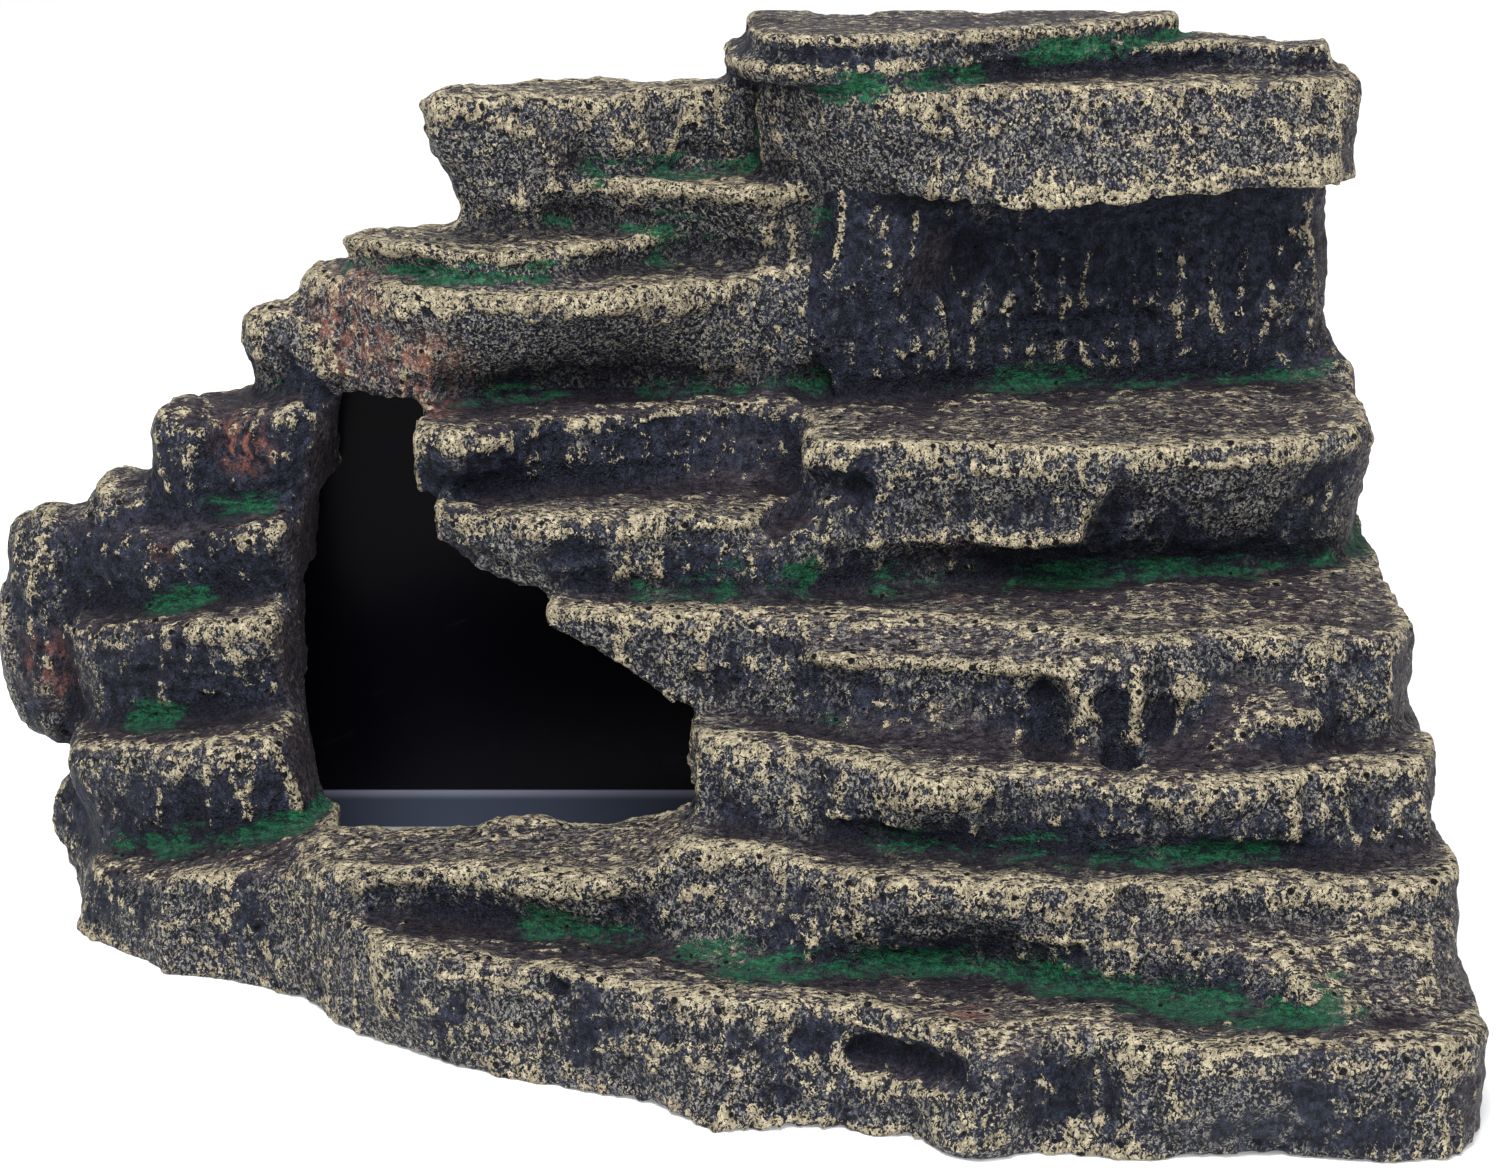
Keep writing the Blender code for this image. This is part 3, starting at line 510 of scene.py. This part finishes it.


class Nodes:
    """Short helpers to write a node material."""

    def __init__(self, name):
        self.material = bpy.data.materials.new(name)
        self.material.use_nodes = True
        self.tree = self.material.node_tree
        self.shader = self.tree.nodes["Principled BSDF"]

    def link(self, source, target):
        if isinstance(source, (int, float)):
            target.default_value = source
        elif isinstance(source, tuple):
            target.default_value = (*source, 1.0) if len(target.default_value) == 4 else source
        else:
            self.tree.links.new(source, target)

    def math(self, operation, *values, clamp=False):
        node = self.tree.nodes.new("ShaderNodeMath")
        node.operation = operation
        node.use_clamp = clamp
        for value, socket in zip(values, node.inputs):
            self.link(value, socket)
        return node.outputs[0]

    def times(self, first, second):
        return self.math("MULTIPLY", first, second)

    def plus(self, total, *terms):
        """The total plus, for each pair in terms, a value times a factor."""
        for value, factor in terms:
            total = self.math("MULTIPLY_ADD", value, factor, total)
        return total

    def inverse(self, value):
        return self.math("SUBTRACT", 1.0, value)

    def attribute(self, name):
        node = self.tree.nodes.new("ShaderNodeAttribute")
        node.attribute_name = name
        return node.outputs["Fac"]

    def place(self, stretch):
        """Object coordinates in millimetres, divided by stretch on each axis."""
        coordinates = self.tree.nodes.new("ShaderNodeTexCoord").outputs["Object"]
        node = self.tree.nodes.new("ShaderNodeVectorMath")
        node.operation = "MULTIPLY"
        self.link(coordinates, node.inputs[0])
        node.inputs[1].default_value = tuple(1 / MM / s for s in stretch)
        return node.outputs[0]

    def axis(self, name):
        """One of the object coordinates in millimetres."""
        node = self.tree.nodes.new("ShaderNodeSeparateXYZ")
        self.link(self.place((1.0, 1.0, 1.0)), node.inputs[0])
        return node.outputs[name]

    def noise(self, stretch, detail=2.0, roughness=0.5, distortion=0.0):
        node = self.tree.nodes.new("ShaderNodeTexNoise")
        self.link(self.place(stretch), node.inputs["Vector"])
        node.inputs["Scale"].default_value = 1.0
        node.inputs["Detail"].default_value = detail
        node.inputs["Roughness"].default_value = roughness
        node.inputs["Distortion"].default_value = distortion
        return node.outputs["Fac"]

    def ramp(self, value, low, high):
        node = self.tree.nodes.new("ShaderNodeMapRange")
        node.interpolation_type = "SMOOTHSTEP"
        self.link(value, node.inputs["Value"])
        self.link(low, node.inputs["From Min"])
        self.link(high, node.inputs["From Max"])
        return node.outputs["Result"]

    def mix(self, factor, first, second):
        node = self.tree.nodes.new("ShaderNodeMix")
        node.data_type = "RGBA"
        self.link(factor, node.inputs[0])
        self.link(first, node.inputs[6])
        self.link(second, node.inputs[7])
        return node.outputs[2]

    def blend(self, factor, first, second):
        """A value between first and second."""
        node = self.tree.nodes.new("ShaderNodeMix")
        node.data_type = "FLOAT"
        for value, socket in zip((factor, first, second), (node.inputs[0], node.inputs[2], node.inputs[3])):
            self.link(value, socket)
        return node.outputs[0]

    def wobble(self, stretch, **shape):
        """Noise about zero."""
        return self.math("SUBTRACT", self.noise(stretch, **shape), 0.5)

    def mottled(self, colours, stretch, low, high, detail=4.0):
        """Two colours in fine rough speckles."""
        return self.mix(self.ramp(self.noise(stretch, detail=detail, roughness=0.7), low, high), *colours)

    def spots(self, stretch):
        """Distance to the nearest of scattered points, in cells."""
        node = self.tree.nodes.new("ShaderNodeTexVoronoi")
        node.inputs["Scale"].default_value = 1.0
        self.link(self.place(stretch), node.inputs["Vector"])
        return node.outputs["Distance"]

    def bump(self, height, distance, strength=1.0):
        node = self.tree.nodes.new("ShaderNodeBump")
        node.inputs["Strength"].default_value = strength
        node.inputs["Distance"].default_value = distance * MM
        self.link(height, node.inputs["Height"])
        self.link(node.outputs["Normal"], self.shader.inputs["Normal"])


def painted_stone():
    n = Nodes("painted_stone")
    slope = n.attribute("rise")
    tread = n.ramp(slope, 0.4, 0.85)
    under = n.ramp(slope, -0.05, -0.45)
    flank = n.ramp(n.attribute("side"), 0.45, 0.8)
    hidden = n.attribute("inside")
    wear = n.attribute("wear")
    edge = n.attribute("edge")
    ridge = n.attribute("ridge")
    deep = n.attribute("deep")
    ridge_part = n.math("MAXIMUM", ridge, -1.5)
    deep_part = n.math("MAXIMUM", deep, -2.5)
    open_face = n.times(n.inverse(hidden), n.plus(1.0, (flank, -0.6)))
    # grain: crumbs drawn out along the treads, and a net of fine raised threads
    crumbs = n.blend(tread, n.noise((0.75, 0.75, 0.95), detail=2.5, roughness=0.6, distortion=0.8),
                     n.noise((1.9, 0.7, 0.7), detail=2.5, roughness=0.6, distortion=0.8))
    pebbles = n.noise((1.7, 1.7, 2.2), detail=2.0, roughness=0.55, distortion=1.6)
    thread = n.math("ABSOLUTE", n.math("SUBTRACT", pebbles, 0.5))
    thread = n.math("MULTIPLY_ADD", thread, -11.0, 1.0, clamp=True)
    # how much tan paint the brush has left
    cluster = n.wobble((2.4, 2.4, 5.5), detail=3.0, roughness=0.6)
    patch = n.wobble((15, 15, 24), detail=3.0)
    drip = n.times(n.wobble((4.5, 4.5, 45), detail=2.0), n.inverse(tread))
    cover = n.plus(n.math("ADD", wear, -0.66), (n.math("MAXIMUM", edge, -0.25), 3.3), (ridge_part, 0.09),
                   (deep_part, 0.06), (cluster, 2.0), (patch, 1.7), (drip, 2.5), (tread, 0.25),
                   (under, -1.1), (flank, -0.6), (n.attribute("rust"), -0.5), (hidden, -3.0))
    level = n.plus(0.56, (n.math("MINIMUM", cover, 0.46), -0.22))
    tan = n.ramp(n.plus(crumbs, (thread, 0.14)), n.math("ADD", level, 0.01), n.math("ADD", level, 0.06))
    # thin dust of paint on the crumbs and threads everywhere
    dust = n.math("MAXIMUM", n.ramp(crumbs, 0.56, 0.65), n.times(thread, n.ramp(crumbs, 0.45, 0.55)))
    amount = n.plus(0.0, (patch, 1.5), (cluster, 0.9), (ridge_part, 0.09), (deep_part, 0.05), (wear, 0.8))
    dust = n.times(n.times(dust, n.ramp(amount, -0.16, 0.18)), n.times(open_face, 0.9))
    # colours
    # mauve over the slate on the treads and on the faces turned to the right
    tread_and_right_flank = n.math("MAXIMUM", n.times(tread, 0.85), n.times(flank, 0.75))
    slate = n.mottled(SLATE, (2.2, 2.2, 2.8), 0.35, 0.72)
    mauve = n.mottled(MAUVE, (2.6, 1.0, 1.0), 0.35, 0.7)
    colour = n.mix(tread_and_right_flank, slate, mauve)
    # painted shade: the low spots between the crumbs are darkened toward black
    colour = n.mix(n.times(n.inverse(n.ramp(crumbs, 0.36, 0.50)), 0.75), colour, PIT_SHADE_BLACK)
    rust = n.times(n.attribute("rust"), n.ramp(n.noise((2.6, 2.6, 4), detail=4.0, roughness=0.7), 0.42, 0.66))
    colour = n.mix(n.times(rust, 0.8), colour, RED_UNDER)
    colour = n.mix(dust, colour, DUST)
    colour = n.mix(tan, colour, n.mottled(SAND, (1.6, 1.6, 2.2), 0.3, 0.7))
    colour = n.mix(n.times(rust, 0.4), colour, RED_OVER)
    # moss paint, thin where the brush slid over it
    stroke = n.wobble((7.0, 4.0, 2.2), detail=4.0, roughness=0.65)
    moss = n.plus(n.attribute("moss"), (stroke, 3.6), (n.wobble((22, 16, 12), detail=1.0), 2.4))
    moss = n.times(n.ramp(moss, 0.30, 0.95), n.ramp(n.attribute("moss"), 0.03, 0.35))
    green = n.mix(n.times(tread, 0.45), n.mottled(GREEN, (2.4, 0.9, 0.9), 0.35, 0.68, detail=3.0), PALE_GREEN)
    colour = n.mix(n.times(moss, 0.85), colour, green)
    # pin holes left by air bubbles, most of them along the lips, the shade in them painted black
    size = n.plus(0.07, (n.ramp(edge, -0.05, 0.25), 0.075))
    hole = n.inverse(n.ramp(n.spots((4.6, 4.6, 4.6)), size, n.math("ADD", size, 0.05)))
    hole = n.times(hole, open_face)
    colour = n.mix(hole, colour, PIT_SHADE_BLACK)
    # painted shade: creases and hollows are darkened toward black, less under moss; faces closed off from the
    # front, top and sides are made dark as well
    crease_shade = n.math("MAXIMUM", n.times(n.ramp(edge, -0.02, -0.3), 0.5),
                  n.times(n.ramp(n.plus(ridge, (deep, 0.3)), 0.0, -1.8), 0.75))
    crease_shade = n.times(crease_shade, n.plus(1.0, (moss, -0.6)))
    colour = n.mix(n.math("MAXIMUM", crease_shade, n.times(hidden, 0.8)), colour, SHADE_AND_INNER_BLACK)
    n.link(colour, n.shader.inputs["Base Color"])
    n.link(n.plus(0.55, (hidden, -0.2)), n.shader.inputs["Roughness"])
    n.shader.inputs["Specular IOR Level"].default_value = 0.15
    n.bump(n.plus(0.0, (crumbs, 0.8), (pebbles, 0.9), (tan, 0.15), (thread, 0.12), (hole, -0.9)), 1.3)
    return n.material


def gloss_black():
    n = Nodes("gloss_black")
    height = n.axis("Z")
    smudge = n.ramp(n.noise((28, 28, 12), detail=5.0, roughness=0.65, distortion=1.2), 0.58, 0.8)
    # painted shade on the panel's foot, with a painted line of light along the top of it
    foot = n.inverse(n.ramp(height, FOOT_FROM, FOOT_TO))
    rim_highlight = n.times(foot, n.ramp(height, RIM_FROM, FOOT_FROM))
    colour = n.mix(foot, n.mix(smudge, PANEL_BLACK, PANEL_SMUDGE), PANEL_FOOT_SHADE)
    n.link(n.mix(rim_highlight, colour, PANEL_RIM_HIGHLIGHT), n.shader.inputs["Base Color"])
    n.link(n.plus(0.25, (smudge, 0.2)), n.shader.inputs["Roughness"])
    n.shader.inputs["Specular IOR Level"].default_value = 0.04
    return n.material


def paint_panel(material):
    """The back panel keeps its CAD mesh."""
    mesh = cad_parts["back_panel"].data
    mesh.materials.clear()
    mesh.materials.append(material)


# ---------------------------------------------------------------- the setting

FLOOR_SIZE, FLOOR_PLACE = 8.0, (0, 1.0, 0)
PAPER, PAPER_GLOW = (0.86, 0.86, 0.87, 1.0), 0.22
# Square lights: name, place, size, power.
LIGHTS = [("key", (-0.35, -0.8, 1.5), 0.8, 44.0), ("fill", (0.9, -1.2, 0.7), 1.0, 10.0),
          ("back", (0.3, 1.4, 1.2), 1.2, 5.0)]
LIGHT_TARGET = (0.0, 0.0, 0.08)
SKY, SKY_STRENGTH = (0.97, 0.985, 1.0, 1.0), 0.45
CAMERA_PLACE = (0.015, -0.6785, 0.330)
CAMERA_DIP = 19.3                       # degrees below level
CAMERA_LENS = 80.4


def make_stage():
    bpy.ops.mesh.primitive_plane_add(size=FLOOR_SIZE, location=FLOOR_PLACE)
    floor = bpy.context.object
    floor.name = "floor"
    paper = bpy.data.materials.new("white_paper")
    paper.use_nodes = True
    shader = paper.node_tree.nodes["Principled BSDF"]
    shader.inputs["Base Color"].default_value = PAPER
    shader.inputs["Roughness"].default_value = 0.6
    shader.inputs["Emission Color"].default_value = (1.0, 1.0, 1.0, 1.0)
    shader.inputs["Emission Strength"].default_value = PAPER_GLOW
    floor.data.materials.append(paper)


def make_lights():
    for name, place, size, power in LIGHTS:
        data = bpy.data.lights.new(name, "AREA")
        data.shape = "SQUARE"
        data.size = size
        data.energy = power
        light = bpy.data.objects.new(name, data)
        light.location = place
        light.rotation_euler = (Vector(LIGHT_TARGET) - Vector(place)).to_track_quat("-Z", "Y").to_euler()
        bpy.context.scene.collection.objects.link(light)
    world = bpy.data.worlds.new("studio")
    world.use_nodes = True
    world.node_tree.nodes["Background"].inputs[0].default_value = SKY
    world.node_tree.nodes["Background"].inputs[1].default_value = SKY_STRENGTH
    bpy.context.scene.world = world


def make_camera():
    data = bpy.data.cameras.new("camera")
    data.sensor_width = 36.0
    data.lens = CAMERA_LENS
    camera = bpy.data.objects.new("camera", data)
    camera.location = CAMERA_PLACE
    camera.rotation_euler = (math.radians(90 - CAMERA_DIP), 0.0, 0.0)
    bpy.context.scene.collection.objects.link(camera)
    bpy.context.scene.camera = camera


make_rock(painted_stone())
paint_panel(gloss_black())
make_stage()
make_lights()
make_camera()
bpy.context.scene.view_settings.view_transform = "Standard"
